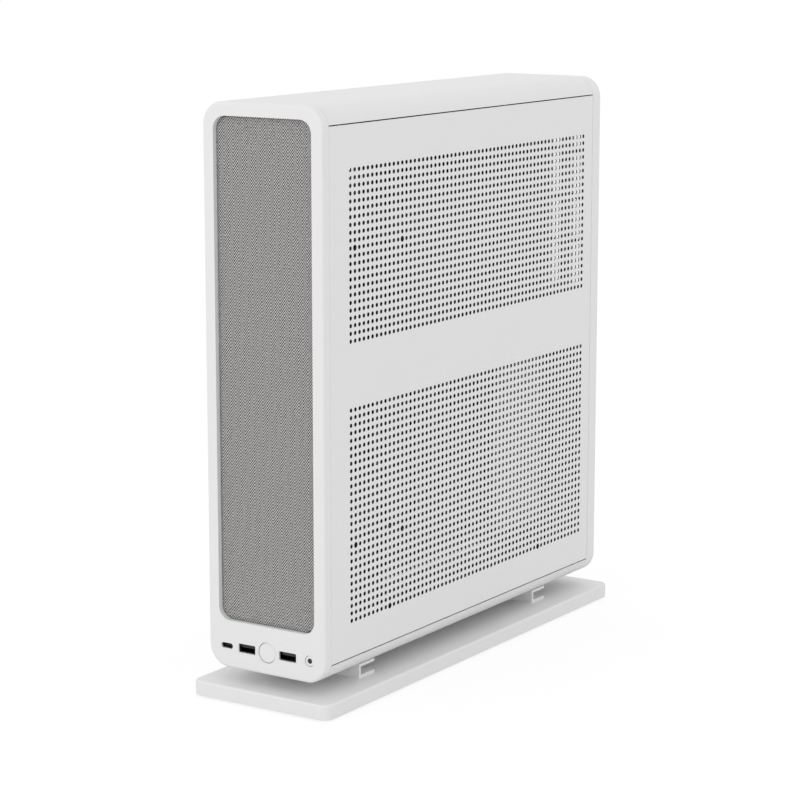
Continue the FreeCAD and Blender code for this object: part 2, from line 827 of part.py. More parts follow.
def rear_socket_table():
    """Rear sockets: middle height on the board, size along Z and X, and its openings."""
    return [
        ("video", 150.0, 16.6, 6.6, [(3.3, 14.8, 4.8)]),
        ("usb_a", 126.0, 14.6, 16.0, [(4.4, 12.9, 5.0), (11.6, 12.9, 5.0)]),
        ("usb_b", 104.0, 14.6, 16.0, [(4.4, 12.9, 5.0), (11.6, 12.9, 5.0)]),
        ("network", 80.0, 16.2, 13.6, [(6.6, 11.8, 8.4)]),
        ("audio", jack_stack_place, 26.0, 11.0, []),
    ]


def rear_sockets():
    mouth = rear_plate_back + 1.5
    back = mouth - 26.0
    sockets = []
    for name, place, width, tall, openings in rear_socket_table():
        z = board_bottom + place
        body = block((board_top_x, board_top_x + tall), (back, mouth), around(z, width))
        cuts = []
        for lift, w, h in openings:
            cuts.append(block(around(board_top_x + lift, h), (mouth - 14.0, mouth + 1.0), around(z, w)))
        if openings:
            sockets.append(body.cut(cuts))
    for step in jack_steps:
        z = board_bottom + jack_stack_place + step
        body = block((board_top_x, board_top_x + 11.0), (back, mouth), around(z, jack_step - 0.2))
        start = (board_top_x + 5.5, mouth - jack_depth, z)
        sockets.append(body.cut(rod(start, Y_AXIS, jack_depth + 1.0, jack_radius)))
    save("rear_sockets", *sockets)


def io_shield():
    x, z = io_opening()
    y = (rear_plate_face - 0.6, rear_plate_face)
    plate = block((x[0] - 1.5, x[1] + 1.5), y, (z[0] - 1.5, z[1] + 1.5))
    holes = []
    for _, place, width, tall, _ in rear_socket_table():
        middle = board_bottom + place
        span = (board_top_x - fit_gap, board_top_x + tall + fit_gap)
        holes.append(block(span, (y[0] - 1.0, y[1] + 1.0), around(middle, width + 2 * fit_gap)))
    save("io_shield", plate.cut(holes))


# ---------------------------------------------------------------- power supply

def supply_fan_centre():
    return supply_mid_y, supply_mid_z


def power_supply():
    y, z = supply_fan_centre()
    fan_face = supply_high_x - supply_wall - cooler_fan_depth
    x = (supply_low_x, supply_high_x)
    case = block(x, (supply_front, supply_rear), (divider_top, supply_top))
    inner = block((x[0] + supply_wall, x[1] - supply_wall), (supply_front + supply_wall, supply_rear - supply_wall),
                  (divider_top + supply_wall, supply_top - supply_wall))
    case = case.cut(inner)
    case = case.cut(rod((fan_face + 2.0, y, z), X_AXIS, cooler_fan_depth, cooler_fan_size / 2 - 2.5))
    sx, sz = switch_place()
    case = case.cut(block(around(sx, 11.0), (supply_front - 1.0, supply_front + 2.0), around(sz, 17.0)))
    save("supply_case", case)
    save("supply_fan_frame", fan_frame(fan_face, y, z, cooler_fan_size, cooler_fan_depth))
    shaft_from = cooler_fan_depth - 3.0
    save("supply_fan_rotor", bored_rotor(fan_face, y, z, cooler_fan_size, cooler_fan_depth, 7, shaft_from))
    rings = []
    for radius in (12.0, 20.0, 28.0, 36.0, 43.5):
        ring = rod((supply_high_x, y, z), X_AXIS, 1.2, radius + 1.0)
        rings.append(ring.cut(rod((supply_high_x - 1.0, y, z), X_AXIS, 4.0, radius - 1.0)))
    bars = []
    for angle in (45.0, 135.0):
        bar = block((supply_high_x, supply_high_x + 1.2), around(y, 106.0), around(z, 2.4))
        bar.rotate(V(supply_high_x, y, z), X_AXIS, angle)
        bars.append(bar)
    save("supply_grille", join(rings + bars))


def switch_place():
    return 12.0, divider_top + 72.0


def supply_switch():
    """Rocker on the supply's front, at rest with its upper half pressed in."""
    x, z = switch_place()
    y = supply_front + 1.5
    half, tilt = 7.0, math.radians(8.0)
    rise = half * math.tan(tilt)
    points = [(-2.2, 0.0), (-2.2 - rise, half), (1.4, half), (1.4, -half), (-2.2 - rise, -half)]
    ring = [V(x - 5.0, y + dy, z + dz) for dy, dz in points]
    rocker = Part.Face(Part.makePolygon(ring + [ring[0]])).extrude(V(10.0, 0, 0))
    rocker.rotate(V(x, y, z), X_AXIS, -8.0)
    pin = rod((x - 6.5, y + 0.6, z), X_AXIS, 13.0, 0.9)
    save("supply_switch", join([rocker, pin]))


# ---------------------------------------------------------------- leads

def swept_tube(points, radius):
    """Round tube along straight runs joined by tangent arcs, with its bend radii printed."""
    vectors = [V(*p) for p in points]
    edges = []
    start = vectors[0]
    for index in range(1, len(vectors) - 1):
        before, here, after = vectors[index - 1:index + 2]
        a = (before - here).normalize()
        b = (after - here).normalize()
        half_turn = (math.pi - a.getAngle(b)) / 2
        shorter = min((before - here).Length, (after - here).Length)
        reach = 0.45 * shorter
        bend = reach / math.tan(half_turn)
        enter = here + a * reach
        leave = here + b * reach
        centre_way = (a + b).normalize()
        middle = here + centre_way * (bend / math.cos(half_turn) - bend)
        edges.append(Part.LineSegment(start, enter).toShape())
        edges.append(Part.Arc(enter, middle, leave).toShape())
        start = leave
        print("  bend radius", round(bend, 1), "for diameter", 2 * radius)
    edges.append(Part.LineSegment(start, vectors[-1]).toShape())
    path = Part.Wire(edges)
    section = Part.Wire(Part.Circle(vectors[0], vectors[1] - vectors[0], radius).toShape())
    tube = path.makePipeShell([section], True, False)
    print("  volume over section times length", round(tube.Volume / (math.pi * radius ** 2 * path.Length), 4))
    return tube


def leads():
    inlet_end = rear_plate_face - 20.0
    low = supply_mid_z - 28.0
    mains = swept_tube([(0, inlet_end, mains_z), (0, lead_y, mains_z), (0, lead_y, low)], mains_lead_radius)
    plug = block(around(0.0, 16.0), (supply_front - 18.0, supply_front), (low, low + 34.0))
    save("mains_lead", mains, plug)
    header_y, header_z = front_header()
    x = board_top_x + front_lead_radius + 0.7
    board_end = front_board_top + 13.0
    route = [(x, lead_y, board_end), (x, lead_y, header_z), (x, header_y, header_z)]
    front_run = swept_tube(route, front_lead_radius)
    lower_plug = block(around(x, 8.0), around(lead_y, 8.0), (front_board_top, board_end))
    upper_plug = block((board_top_x, board_top_x + 9.0), (header_y, header_y + 9.0), around(header_z, 9.0))
    bend_y = (supply_rear + board_front + 1.0) / 2
    plug_z = board_bottom + 151.0
    exit_z = supply_top - 16.0
    exit_x = 2.0
    plug_x = board_top_x + 9.0
    run_y = bend_y + 4.0
    entry_z = board_bottom + 130.0
    route = [(exit_x, supply_rear, exit_z), (exit_x, run_y, exit_z), (exit_x, run_y, entry_z)]
    route.append((plug_x + 7.0, run_y, entry_z))
    power_run = swept_tube(route, power_lead_radius)
    power_plug = block((plug_x, plug_x + 7.0), (bend_y, board_front + 11.0), (board_bottom + 99.0, plug_z))
    save("inner_leads", front_run, lower_plug, upper_plug, power_run, power_plug)


def power_inlet():
    width, height = inlet_size()
    back = rear_plate_face - 20.0
    body = block(around(0.0, width), (back, rear_plate_back), around(inlet_z, height))
    flange = rounded_prism(40.0, height + 5.0, 4.0, (rear_plate_back, rear_plate_back + 2.0), 0.0, inlet_z)
    whole = join([body, flange])
    recess = rounded_prism(24.0, 16.0, 3.0, (rear_plate_back + 2.0 - 15.0, rear_plate_back + 3.0), 0.0, inlet_z)
    whole = whole.cut(recess)
    pins = []
    for x, dz in ((-7.0, -2.0), (7.0, -2.0), (0.0, 2.0)):
        reach = (rear_plate_back - 13.2, rear_plate_back - 3.0)
        pins.append(block(around(x, 2.0), reach, around(inlet_z + dz, 4.0)))
    save("power_inlet", join([whole] + pins))


# ---------------------------------------------------------------- graphics card and riser

def riser():
    y = (slot_front + 2.0, slot_front + slot_length - 2.0)
    x = (board_top_x + 3.2, riser_mid_x + slot_width / 2 + 3.0)
    board = block(x, y, (riser_low, riser_low + board_thickness))
    z = (riser_socket_low, riser_low)
    socket = block(around(riser_mid_x, slot_width), (slot_front, slot_front + slot_length), z)
    groove = block(around(riser_mid_x, board_thickness + 2 * edge_gap), (slot_front + 1.5, slot_front + slot_length - 1.5),
                   (z[0] - 1.0, z[0] + 9.0))
    save("riser_board", board, socket.cut(groove))


def graphics_board():
    x = (card_board_face, card_board_back)
    top = riser_socket_low - 2.0
    plate = block(x, (card_board_front, card_rear + 4.0), (card_bottom, top))
    finger = block(x, (slot_front + 2.0, slot_front + slot_length - 2.0), (top - 1.0, riser_socket_low + 8.5))
    rise = (card_board_face - 3.0, card_board_face + 0.1)
    chip = block(rise, around(card_chip_y(), 34.0), around(card_mid_z, 34.0))
    save("graphics_board", join([plate, finger, chip]))


def card_chip_y():
    return card_board_front + 48.0


def graphics_heatsink():
    """Fins that run along Z on four heat pipes; the front fins reach right through the card."""
    z = (card_bottom + 3.4, card_top - 3.4)
    low_x = card_fan_face + 15.0
    deep_x = card_backplate_face + 0.6
    short_x = card_board_face - 6.0
    pitch, fin = 4.0, 0.6
    first = card_front + 3.0
    last = card_rear - 20.0
    fins = []
    count = int((last - first - fin) // pitch) + 1
    for index in range(count):
        y = first + index * pitch
        reach = deep_x if y + fin < card_board_front - 2.0 else short_x
        fins.append(block((low_x, reach), (y, y + fin), z))
    pipes = []
    for step in (-36.0, -12.0, 12.0, 36.0):
        pipes.append(rod((short_x - 8.0, first, card_mid_z + step), Y_AXIS, (count - 1) * pitch + fin, 3.0))
    base = block((short_x - 0.5, card_board_face - 3.0), around(card_chip_y(), 44.0), around(card_mid_z, 60.0))
    save("graphics_heatsink", join(pipes + fins + [base]))


def card_fan_centres():
    return [(card_front + place, card_mid_z) for place in card_fan_places]


def graphics_shroud():
    wall = 1.6
    y = (card_front, card_rear)
    z = (card_bottom, card_top)
    outer = block((card_fan_face, card_board_face - 0.4), y, z)
    nose = block((card_board_face - 1.0, card_backplate_face + 1.2), (card_front, card_board_front - 1.0), z)
    shroud = join([outer, nose])
    depth = (card_fan_face + wall, card_backplate_face + 5.0)
    inner = block(depth, (card_front + wall, card_rear + 1.0), (z[0] + wall, z[1] - wall))
    shroud = shroud.cut(inner)
    parts = []
    for cy, cz in card_fan_centres():
        shroud = shroud.cut(rod((card_fan_face - 1.0, cy, cz), X_AXIS, wall + 2.0, card_hole_radius))
        parts.append(rod((card_fan_face, cy, cz), X_AXIS, wall, 15.0))
        parts.append(rod((card_fan_face, cy, cz), X_AXIS, 10.0, shaft_radius))
        for angle in (30.0, 90.0, 150.0):
            span = around(cy, 2 * card_hole_radius + 2.0)
            arm = block((card_fan_face, card_fan_face + wall), span, around(cz, 3.0))
            arm.rotate(V(card_fan_face, cy, cz), X_AXIS, angle)
            parts.append(arm)
    save("graphics_shroud", join([shroud] + parts))


def graphics_rotors():
    names = ("graphics_rotor_front", "graphics_rotor_rear")
    for (y, z), name in zip(card_fan_centres(), names):
        start = card_fan_face + 1.6 + rotor_gap
        wheel = rotor(start, y, z, 14.0, card_hole_radius - tip_gap, 11.0, 11)
        bore = rod((card_fan_face, y, z), X_AXIS, 10.0 + fit_gap, shaft_radius + shaft_fit)
        save(name, wheel.cut(bore))


def graphics_backplate():
    x = (card_backplate_face, card_backplate_face + 1.2)
    plate = block(x, (card_board_front, card_rear), (card_bottom, card_top))
    posts = []
    for y in (card_board_front + 8.0, card_rear - 8.0):
        for z in (card_bottom + 8.0, card_top - 8.0):
            posts.append(rod((card_board_back, y, z), X_AXIS, card_backplate_face - card_board_back + 0.2, 2.5))
    save("graphics_backplate", join([plate] + posts))


def card_socket_levels():
    return [card_bottom + 24.0, card_bottom + 52.0, card_bottom + 80.0]


def card_socket_size():
    return 17.0, 6.0


def graphics_bracket():
    x, z = bracket_opening()
    y = (rear_plate_face - 1.0, rear_plate_face)
    plate = block((x[0] - 1.5, x[1] + 1.5), y, (z[0] - 3.0, z[1] + 3.0))
    through = (y[0] - 1.0, y[1] + 1.0)
    width, tall = card_socket_size()
    cuts = []
    for level in card_socket_levels():
        span = (card_board_face - tall - fit_gap, card_board_face + fit_gap)
        cuts.append(block(span, through, around(level, width + 2 * fit_gap)))
    for row in range(3):
        for column in range(4):
            left = x[0] + 3.0 + column * 5.5
            low = z[0] + 6.0 + row * 33.0
            cuts.append(block((left, left + 3.0), through, (low, low + 28.0)))
    save("graphics_bracket", plate.cut(cuts))


def graphics_sockets():
    width, tall = card_socket_size()
    mouth = rear_plate_back + 0.8
    sockets = []
    for level in card_socket_levels():
        body = block((card_board_face - tall, card_board_face), (mouth - 22.0, mouth), around(level, width))
        depth = (card_board_face - tall + 0.6, card_board_face - 0.6)
        hollow = block(depth, (mouth - 12.0, mouth + 1.0), around(level, width - 1.6))
        sockets.append(body.cut(hollow))
    save("graphics_sockets", *sockets)


def card_brace():
    """White bracket under the divider that carries the card's lower edge."""
    face = panel_face - 8.2
    x = (face, face + 1.2)
    y = (card_board_front - 6.0, card_board_front + 59.0)
    upright = block(x, y, (card_bottom - 1.2, divider_low))
    low_edges = [e for e in upright.Edges if e.BoundBox.ZMax < card_bottom]
    corner = [e for e in low_edges if abs(e.tangentAt(e.FirstParameter).x) > 0.9]
    upright = upright.makeFillet(12.0, corner[:1])
    hanger = block((face - 13.0, x[1]), y, (divider_low - 1.2, divider_low))
    arm = block((-10.0, x[1]), (y[0] + 16.0, y[1] - 16.0), (card_bottom - 1.2, card_bottom))
    save("card_brace", join([upright, hanger, arm]))


# ---------------------------------------------------------------- drive

def drive_parts():
    depth, length, height = drive_size
    y = (front_plate_back + 8.5, front_plate_back + 8.5 + length)
    low = floor_top + 20.0
    x = (drive_face, drive_face + depth)
    drive = block(x, y, (low, low + height))
    save("drive", drive.makeFillet(1.0, drive.Edges))
    sheet = (x[1], x[1] + chassis_sheet)
    leg_y = (front_plate_back + front_board_size[1] + 1.5, y[1] + 2.0)
    clear_z = front_board_top + 9.0
    upright = block(sheet, (y[0] - 2.0, y[1] + 2.0), (clear_z, low + height + 4.0))
    leg = block(sheet, leg_y, (floor_top, clear_z))
    foot = block((x[1] - 12.0, sheet[1]), leg_y, (floor_top, floor_top + chassis_sheet))
    save("drive_bracket", join([upright, leg, foot]))


# ---------------------------------------------------------------- front sockets and button

def power_button():
    y_face = front + 0.3
    flange_front = front + bezel_wall + fit_gap
    cap = rod((button_place, y_face, port_z), Y_AXIS, flange_front + button_flange - y_face, button_radius)
    rim = [e for e in cap.Edges if e.BoundBox.YMax < y_face + 0.01]
    cap = cap.makeFillet(0.6, rim)
    flange = rod((button_place, flange_front, port_z), Y_AXIS, button_flange, button_radius + 1.2)
    stem_end = switch_face() - 0.2
    reach = stem_end - button_travel - flange_front
    stem = rod((button_place, flange_front, port_z), Y_AXIS, reach, button_stem_radius)
    save("power_button", join([cap, flange, stem]))


def switch_face():
    return front_plate_back + 3.5


def front_board():
    width, depth, thick = front_board_size
    y = (front_plate_back + fit_gap, front_plate_back + fit_gap + depth)
    board = block(around(0.0, width), y, (front_board_top - thick, front_board_top))
    depth = (switch_face(), switch_face() + 5.0)
    switch = block(around(button_place, 7.0), depth, (front_board_top, port_z + 3.0))
    save("front_socket_board", board, switch)


def front_sockets():
    mouth = front + socket_setback
    back = front_plate_back + 6.0
    sockets = []
    for place in usb_a_places:
        body = rounded_prism(*usb_a_size, 0.6, (mouth, back), place, port_z)
        hollow = [s - 2 * socket_wall for s in usb_a_size]
        sockets.append(body.cut(rounded_prism(*hollow, 0.3, (mouth - 1.0, mouth + 11.0), place, port_z)))
    body = rounded_prism(*usb_c_size, usb_c_size[1] / 2 - 0.01, (mouth, back), usb_c_place, port_z)
    hollow = [s - 2 * socket_wall for s in usb_c_size]
    reach = (mouth - 1.0, mouth + 6.5)
    body = body.cut(rounded_prism(*hollow, hollow[1] / 2 - 0.01, reach, usb_c_place, port_z))
    seat = block(around(usb_c_place, usb_c_size[0]), (front_plate_back + 1.0, back), (front_board_top, port_z))
    hollow_back = mouth + 6.5
    sockets.append(join([body, seat]) if hollow_back < front_plate_back + 1.0 else body)
    save("usb_sockets", *sockets)
    ring = rod((audio_place, mouth - 0.4, port_z), Y_AXIS, back - mouth + 0.4, audio_ring_radius)
    depth = (front_plate_back + 1.0, back)
    seat = block(around(audio_place, 2 * audio_ring_radius), depth, (front_board_top, port_z))
    under = block(around(audio_place, 20.0), (front_plate_back, back + 1.0), (body_base, front_board_top))
    bore = rod((audio_place, mouth - 1.4, port_z), Y_AXIS, jack_depth + 1.0, jack_radius)
    jack = join([ring, seat]).cut([under, bore])
    save("audio_socket", jack)


# ---------------------------------------------------------------- stand and fasteners

def stand():
    plate = block(around(0.0, stand_width), around(0.0, stand_length), (stand_low, stand_top))
    upright = [e for e in plate.Edges if abs(e.tangentAt(e.FirstParameter).z) > 0.9]
    plate = plate.makeFillet(stand_corner, upright)
    top_rim = [e for e in plate.Edges if e.BoundBox.ZMin > stand_top - 0.01]
    plate = plate.makeFillet(stand_edge_round, top_rim)
    holes = []
    for x, y in lower_foot_screws():
        holes.append(rod((x, y, stand_low - 1.0), Z_AXIS, stand_thickness + 2.0, screw_radius + screw_clear))
        sunk = 1.0 + screw_head_height + 0.4
        holes.append(rod((x, y, stand_low - 1.0), Z_AXIS, sunk, screw_head_radius + screw_clear))
    save("stand_plate", plate.cut(holes))
    pads = []
    for x in (-1, 1):
        for y in (-1, 1):
            place = (x * (stand_width / 2 - 15.0), y * (stand_length / 2 - 18.0), 0.0)
            pads.append(rod(place, Z_AXIS, pad_height, pad_radius))
    save("stand_pads", *pads)
    feet = []
    for place in foot_places:
        wide = around(0.0, 2 * foot_half_width)
        upright = block(wide, (place, place + foot_sheet), (stand_top, body_base))
        lower = block(wide, (place, place + foot_flange), (stand_top, stand_top + foot_sheet))
        upper = block(wide, (place, place + foot_flange), (body_base - foot_sheet, body_base))
        foot = join([upright, lower, upper])
        hole = screw_radius + screw_clear
        cuts = [rod((x, y, stand_top - 1.0), Z_AXIS, 5.0, hole) for x, y in lower_foot_screws()]
        cuts += upper_foot_holes((body_base - foot_sheet - 1.0, body_base + 1.0))
        feet.append(foot.cut(cuts))
    save("stand_feet", *feet)


def screw(head, axis, length):
    """Pan-head screw: the head's outer face is at the first point and the shank runs along the axis."""
    top = rod(head, axis, screw_head_height, screw_head_radius)
    shank = rod(head, axis, screw_head_height + length, screw_radius)
    return join([top, shank])


def case_screws():
    screws = []
    for x, z in rear_screw_places():
        screws.append(screw((x, rear_plate_back + 1.2 + screw_head_height, z), V(0, -1, 0), 4.0))
    for y, z in board_holes():
        screws.append(screw((board_top_x + screw_head_height, y, z), V(-1, 0, 0), 5.0))
    for x, y in upper_foot_screws():
        grip = floor_top - body_base + foot_sheet
        screws.append(screw((x, y, floor_top + screw_head_height), V(0, 0, -1), grip))
    for x, y in lower_foot_screws():
        depth = stand_thickness - screw_head_height - 0.4 + foot_sheet
        screws.append(screw((x, y, stand_low + 0.4), Z_AXIS, depth))
    half = fan_hole_pitch(case_fan_size) / 2
    for place in case_fan_places:
        for sy in (-1, 1):
            for sz in (-1, 1):
                head_x = fan_high_x + chassis_sheet + screw_head_height
                head = (head_x, place + sy * half, fan_mid_z + sz * half)
                screws.append(screw(head, V(-1, 0, 0), 9.0))
    save("case_screws", *screws)


def build():
    os.makedirs("parts", exist_ok=True)
    front_bezel()
    screen()
    covers()
    side_panels()
    rear_frame()
    front_plate()
    rear_plate()
    floor_and_roof()
    divider_plate()
    board_tray()
    case_fans()
    motherboard()
    board_connectors()
    memory_modules()
    processor_parts()
    rear_sockets()
    io_shield()
    power_supply()
    supply_switch()
    leads()
    power_inlet()
    riser()
    graphics_board()
    graphics_heatsink()
    graphics_shroud()
    graphics_rotors()
    graphics_backplate()
    graphics_bracket()
    graphics_sockets()
    card_brace()
    drive_parts()
    power_button()
    front_board()
    front_sockets()
    stand()
    case_screws()


build()
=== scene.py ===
import json
import math

import bpy
import numpy as np
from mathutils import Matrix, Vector


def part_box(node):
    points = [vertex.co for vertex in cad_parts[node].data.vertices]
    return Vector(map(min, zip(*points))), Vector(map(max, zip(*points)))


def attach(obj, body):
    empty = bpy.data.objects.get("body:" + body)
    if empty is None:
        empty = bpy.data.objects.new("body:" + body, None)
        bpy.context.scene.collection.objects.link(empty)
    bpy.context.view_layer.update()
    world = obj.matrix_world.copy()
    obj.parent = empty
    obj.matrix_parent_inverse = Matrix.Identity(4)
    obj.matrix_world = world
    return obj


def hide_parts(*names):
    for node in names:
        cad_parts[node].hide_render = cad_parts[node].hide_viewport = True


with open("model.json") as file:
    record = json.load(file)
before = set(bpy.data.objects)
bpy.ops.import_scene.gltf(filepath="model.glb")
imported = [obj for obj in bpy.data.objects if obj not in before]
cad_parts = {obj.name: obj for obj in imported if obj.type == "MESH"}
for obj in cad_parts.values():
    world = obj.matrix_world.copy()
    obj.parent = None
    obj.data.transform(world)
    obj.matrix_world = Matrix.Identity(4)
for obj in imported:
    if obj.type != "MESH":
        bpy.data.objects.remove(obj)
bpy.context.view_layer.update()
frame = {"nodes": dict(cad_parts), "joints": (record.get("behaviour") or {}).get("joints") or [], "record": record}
nodes = frame["nodes"]
print("frame loaded")

# Everything is in metres, z up, with the tower's front towards -y.


class Signal:  # one output socket that can be used in plain arithmetic
    def __init__(self, paint, socket):
        self.paint = paint
        self.socket = socket

    def math(self, operation, *values):
        return self.paint.node("Math", {"operation": operation}, dict(enumerate(values)))

    def __add__(self, other):
        return self.math("ADD", self, other)

    def __sub__(self, other):
        return self.math("SUBTRACT", self, other)

    def __rsub__(self, other):
        return self.math("SUBTRACT", other, self)

    def __mul__(self, other):
        return self.math("MULTIPLY", self, other)

    def __truediv__(self, other):
        return self.math("DIVIDE", self, other)

    def wave(self):  # 0 to 1 once for every whole step of the value
        return self.math("SINE", self * (2 * math.pi)) * 0.5 + 0.5

    def rise(self, low, high):  # 0 below low, 1 above high, smooth between
        span = {"interpolation_type": "SMOOTHSTEP"}
        return self.paint.node("MapRange", span, {0: self, 1: low, 2: high, 3: 0.0, 4: 1.0})

    __radd__ = __add__
    __rmul__ = __mul__


class Paint:  # the node tree of one material or world, built node by node
    def __init__(self, owner):
        owner.use_nodes = True
        self.owner = owner
        self.tree = owner.node_tree
        self.tree.nodes.clear()

    def node(self, kind, settings=None, inputs=None, output=0):
        made = self.tree.nodes.new("ShaderNode" + kind)
        for key, value in (settings or {}).items():
            setattr(made, key, value)
        for key, value in (inputs or {}).items():
            if isinstance(value, Signal):
                self.tree.links.new(value.socket, made.inputs[key])
            else:
                made.inputs[key].default_value = value
        if made.outputs:
            return Signal(self, made.outputs[output])

    def place(self):  # the point on the object, in metres
        return self.node("TexCoord", output="Object")

    def along(self, axis):  # its distance along x, y or z
        return self.node("SeparateXYZ", inputs={0: self.place()}, output=axis)

    def noise(self, scale, detail=2.0, stretch=(1.0, 1.0, 1.0)):
        point = self.node("Mapping", inputs={"Vector": self.place(), "Scale": stretch})
        return self.node("TexNoise", inputs={"Vector": point, "Scale": scale, "Detail": detail})

    def mix(self, share, first, second):  # share 0 gives the first colour, 1 the second
        return self.node("Mix", {"data_type": "RGBA"}, {0: share, 6: first, 7: second}, 2)

    def finish(self, colour, roughness, relief=None, depth=0.0, **fixed):
        inputs = {"Base Color": colour, "Roughness": roughness, **fixed}
        if relief:
            inputs["Normal"] = self.node("Bump", inputs={"Height": relief, "Distance": depth})
        surface = self.node("BsdfPrincipled", inputs=inputs)
        self.node("OutputMaterial", inputs={"Surface": surface})
        return self.owner


def grey(value, warmth=0.0):  # a linear grey, warmer above zero
    return (value * (1 + warmth), value, value * (1 - warmth), 1.0)


def powderCoat(name, tone):  # baked white powder: very fine orange peel, almost matt
    paint = Paint(bpy.data.materials.new(name))
    cloud = paint.noise(9.0)
    peel = paint.noise(1400.0, 3.0)
    colour = paint.mix(cloud, grey(tone * 0.985), grey(tone * 1.015))
    return paint.finish(colour, peel * 0.16 + 0.42, peel, 0.00003)


def mouldedWhite(name, tone):  # injection-moulded white with a spark-eroded skin
    paint = Paint(bpy.data.materials.new(name))
    cloud = paint.noise(14.0)
    skin = paint.noise(2600.0, 2.0)
    colour = paint.mix(cloud, grey(tone * 0.99), grey(tone * 1.01))
    return paint.finish(colour, skin * 0.12 + 0.4, skin, 0.000015)


def mouldedBlack(name, tone, shine):
    paint = Paint(bpy.data.materials.new(name))
    skin = paint.noise(2200.0, 3.0)
    dust = paint.noise(60.0, 4.0).rise(0.45, 0.8)
    colour = paint.mix(dust, grey(tone), grey(tone * 1.5))
    return paint.finish(colour, 1 - shine + skin * 0.2, skin, 0.00002)


def blackSteel(name, tone):  # satin black paint on sheet steel
    paint = Paint(bpy.data.materials.new(name))
    peel = paint.noise(1600.0, 3.0)
    cloud = paint.noise(25.0)
    colour = paint.mix(cloud, grey(tone * 0.85), grey(tone * 1.2))
    return paint.finish(colour, peel * 0.2 + 0.32, peel, 0.00003)


def brightMetal(name, colour, grain, lengthways):  # rolled or drawn metal with fine lines along one axis
    paint = Paint(bpy.data.materials.new(name))
    lines = paint.noise(grain, 3.0, lengthways)
    cloud = paint.noise(40.0)
    dull = paint.mix(lines, tuple(0.82 * part for part in colour[:3]) + (1.0,), colour)
    return paint.finish(dull, lines * 0.2 + cloud * 0.12 + 0.22, lines, 0.00001, Metallic=1.0)


def laminate(name):  # black solder mask over copper tracks and pads
    values = {"mask": grey(0.012), "track": grey(0.03), "gold": (0.75, 0.5, 0.2, 1.0), "pitch": 0.0016}
    paint = Paint(bpy.data.materials.new(name))
    run = paint.along("Y") / values["pitch"]
    step = paint.along("Z") / values["pitch"]
    bend = paint.noise(220.0, 0.0)
    tracks = (run + bend * 3).wave().rise(0.55, 0.7)
    dots = (run * 0.5).wave() * (step * 0.5).wave()
    colour = paint.mix(tracks, values["mask"], values["track"])
    colour = paint.mix(dots.rise(0.9, 0.95) * paint.noise(90.0, 0.0).rise(0.52, 0.56), colour, values["gold"])
    return paint.finish(colour, 0.38 + bend * 0.2, tracks, 0.00003)


def rubber(name):
    paint = Paint(bpy.data.materials.new(name))
    pores = paint.noise(900.0, 4.0)
    return paint.finish(paint.mix(pores, grey(0.02), grey(0.05)), pores * 0.2 + 0.7, pores, 0.00006)


weave = {
    "row": 0.0021,      # height of one stitch
    "rib": 0.0016,      # width of one diagonal rib
    "band": 0.0036,     # width over which the ribs lean one way before they turn
    "dark": (0.030, 0.028, 0.028, 1.0),
    "light": (0.60, 0.585, 0.58, 1.0),
    "depth": 0.0003,
}


def wovenScreen(name):  # herringbone: ribs climb, turn at each band's edge and climb back
    paint = Paint(bpy.data.materials.new(name))
    drift = paint.noise(30.0, 1.0, (1.0, 1.0, 0.25)) * 0.0012
    across = paint.along("X") + drift
    up = paint.along("Z") + paint.noise(45.0, 1.0) * 0.0006
    lean = across.math("PINGPONG", across + 1.0, weave["band"])
    rib = (up / weave["row"] + lean / weave["rib"]).wave()
    thread = (up / weave["row"] - lean / weave["rib"] + 0.25).wave()
    turn = lean / weave["band"]
    cloth = rib * (0.45 + 0.25 * turn) + thread * (0.55 - 0.25 * turn)
    slub = paint.noise(700.0, 2.0) * 0.5 - 0.25
    height = cloth + slub
    colour = paint.mix(height.rise(0.18, 0.86), weave["dark"], weave["light"])
    return paint.finish(colour, 0.85, height, weave["depth"], **{"Sheen Weight": 0.15})


aluminium = (0.78, 0.79, 0.8, 1.0)
zinc = (0.62, 0.62, 0.63, 1.0)
finishes = {
    "white_plastic": mouldedWhite("whiteMoulding", 0.80),
    "white_shell": powderCoat("whitePowder", 0.80),
    "screen_fabric": wovenScreen("wovenScreen"),
    "black_plastic": mouldedBlack("blackMoulding", 0.018, 0.55),
    "black_steel": blackSteel("blackSheet", 0.025),
    "bright_steel": brightMetal("zincPlate", zinc, 500.0, (1.0, 1.0, 0.1)),
    "fin_aluminium": brightMetal("finAluminium", aluminium, 700.0, (0.1, 1.0, 1.0)),
    "board_laminate": laminate("boardLaminate"),
    "connector_plastic": mouldedBlack("connectorPlastic", 0.03, 0.62),
    "pad_rubber": rubber("padRubber"),
    # dark grey for the punched hole walls: painted shade that darkens the holes
    "paintedHoleShade": blackSteel("holeWallShade", 0.06),
    # near-black steel for the USB sockets: painted shade that stands in for the dark inside of the openings
    "paintedShadeSteel": brightMetal("paintedShadeSteel", (0.09, 0.09, 0.095, 1.0), 900.0, (1.0, 0.1, 1.0)),
    "gold": brightMetal("goldContact", (0.9, 0.66, 0.3, 1.0), 900.0, (1.0, 0.1, 1.0)),
}
darker = {"usb_sockets": "paintedShadeSteel"}  # nodes whose finish isn't their slot's own: the USB sockets take the near-black steel, painted shade inside the openings
slotOf = {part["node"]: part["material_slot"] for part in frame["record"]["subparts"]}
for name, part in nodes.items():
    part.data.materials.clear()
    part.data.materials.append(finishes[darker.get(name, slotOf[name])])
print("finishes on the packed nodes")


def gridFaces(rows, columns, loopColumns=False):  # quads between neighbours on a grid of points
    row = np.arange(rows - 1)[:, None]
    column = np.arange(columns if loopColumns else columns - 1)[None, :]
    nextRow = row + 1
    nextColumn = (column + 1) % columns
    corners = (row * columns + column, row * columns + nextColumn,
               nextRow * columns + nextColumn, nextRow * columns + column)
    return np.stack(corners, -1).reshape(-1, 4)


